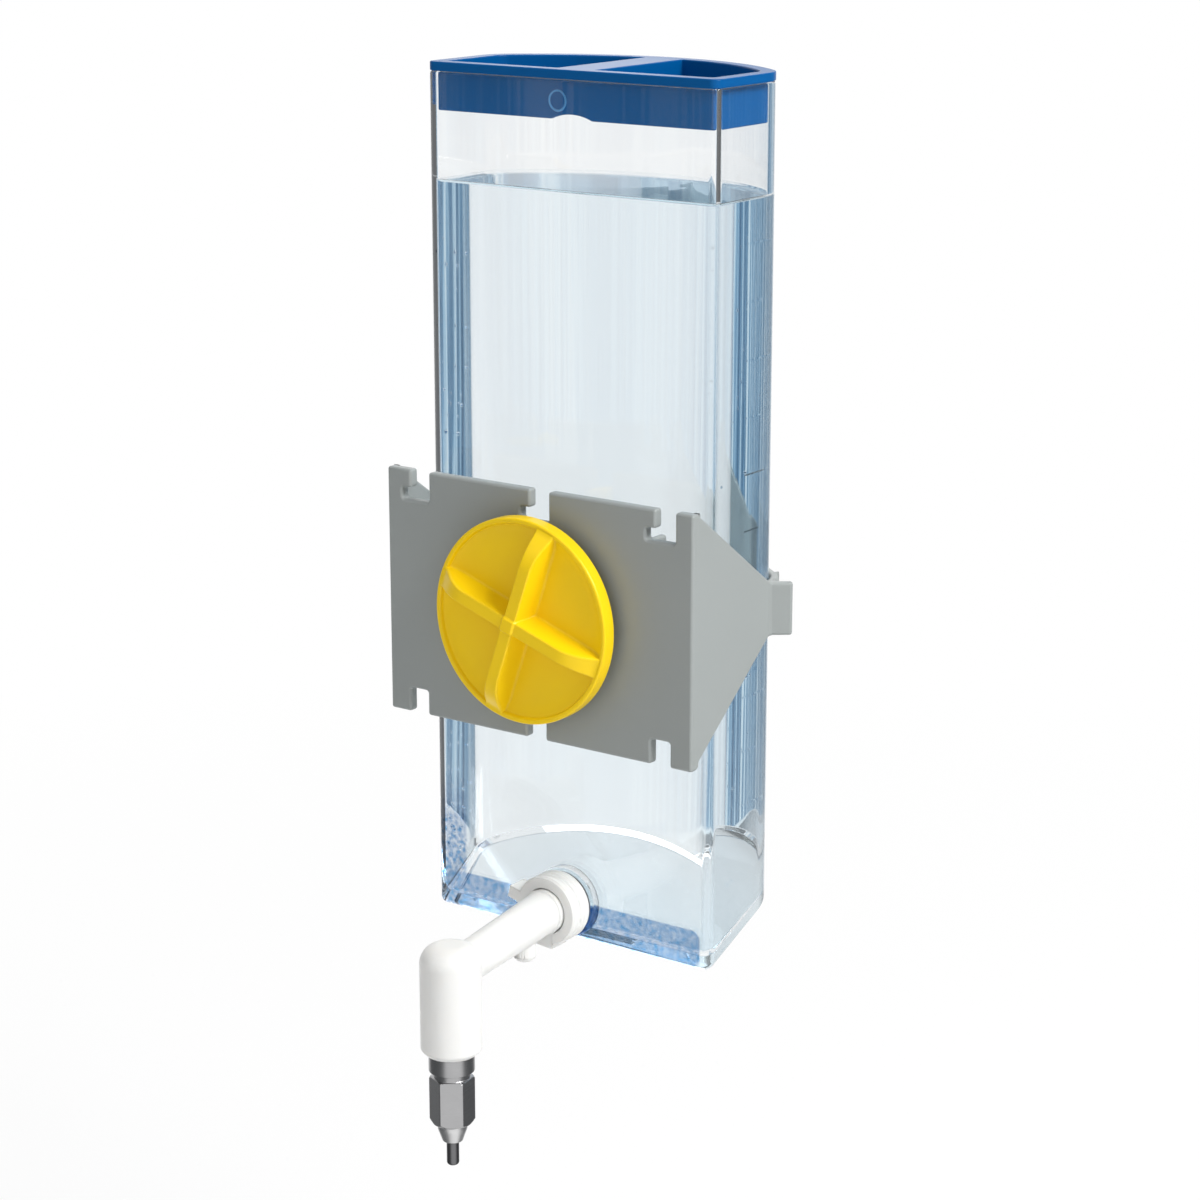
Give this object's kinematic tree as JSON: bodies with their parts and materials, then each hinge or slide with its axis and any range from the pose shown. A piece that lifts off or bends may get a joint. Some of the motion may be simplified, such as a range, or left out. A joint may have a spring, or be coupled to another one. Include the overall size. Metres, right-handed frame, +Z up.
{
  "type": "small pet water bottle",
  "caption": "Clear flat-fronted top-filled drinking bottle with a snap-in cage holder, screw knob and a white spout ending in a stainless spring-closed nipple.",
  "frame": {"origin": "middle of the holder plate's front face, which meets the cage wires, on the knob's axis", "axes": "+Z up; -Y into the cage, the way the knob and spout point; +X to the right seen from the cage"},
  "size_m": [0.1034, 0.1042, 0.2734],
  "materials": {
    "grey_plastic": "satin moulded",
    "yellow_plastic": "glossy moulded",
    "clear_plastic": "clear polished",
    "blue_plastic": "satin-gloss moulded",
    "white_plastic": "satin-gloss moulded",
    "natural_nylon": "satin moulded",
    "black_rubber": "matt",
    "stainless_steel": "turned and lightly polished",
    "spring_wire": "drawn wire"
  },
  "bodies": {
    "bracket": {"bracket": "grey_plastic"},
    "pressure_ring": {"pressure_ring": "natural_nylon"},
    "knob": {"knob": "yellow_plastic"},
    "bottle": {"bottle": "clear_plastic", "boss_ring_seal": "black_rubber"},
    "lid": {"lid": "blue_plastic"},
    "spout_seal": {"outlet_gasket": "black_rubber"},
    "union_nut": {"union_nut": "white_plastic"},
    "spout": {"spout_elbow": "white_plastic", "collar_washer": "black_rubber", "nipple_collar": "stainless_steel", "nipple_body": "stainless_steel", "valve_seat": "black_rubber", "valve_spring": "spring_wire", "tip_bush": "stainless_steel"},
    "plunger": {"valve_plunger": "natural_nylon"},
    "trigger_pin": {"trigger_pin": "stainless_steel"}
  },
  "joints": [
    {"name": "clamp_travel", "type": "slide", "parent": "bracket", "child": "pressure_ring", "axis": [0, -1, 0], "range_m": [-0.0015, 0.0045]},
    {"name": "knob_turn", "type": "hinge", "parent": "pressure_ring", "child": "knob", "pos_m": [0, 0, 0], "axis": [0, -1, 0], "range_deg": [-180, 540]},
    {"name": "bottle_slide", "type": "slide", "parent": "bracket", "child": "bottle", "axis": [0, 0, 1], "range_m": [-0.04, 0.035]},
    {"name": "lid_lift", "type": "slide", "parent": "bottle", "child": "lid", "axis": [0, 0, 1], "range_m": [0, 0.04]},
    {"name": "spout_draw", "type": "slide", "parent": "bottle", "child": "spout_seal", "axis": [0, -1, 0], "range_m": [0, 0.0025]},
    {"name": "nut_turn", "type": "hinge", "parent": "spout_seal", "child": "union_nut", "pos_m": [0, 0.006, -0.0808], "axis": [0, -1, 0], "range_deg": [0, 450]},
    {"name": "spout_swivel", "type": "hinge", "parent": "spout_seal", "child": "spout", "pos_m": [0, 0.006, -0.0808], "axis": [0, -1, 0], "range_deg": [-90, 90]},
    {"name": "pin_push", "type": "slide", "parent": "spout", "child": "plunger", "axis": [0, 0, 1], "range_m": [0, 0.0012], "stiffness_N_per_m": 150, "springref_m": -0.003, "deforming": ["valve_spring"]},
    {"name": "pin_tilt", "type": "hinge", "parent": "plunger", "child": "trigger_pin", "pos_m": [0, -0.0364, -0.1215], "axis": [1, 0, 0], "range_deg": [-2.5, 2.5]}
  ],
  "couplings": [
    {"joint": "clamp_travel", "follows": "knob_turn", "m_per_rad": 0.00047746},
    {"joint": "nut_turn", "follows": "spout_draw", "rad_per_m": 3141.6}
  ]
}
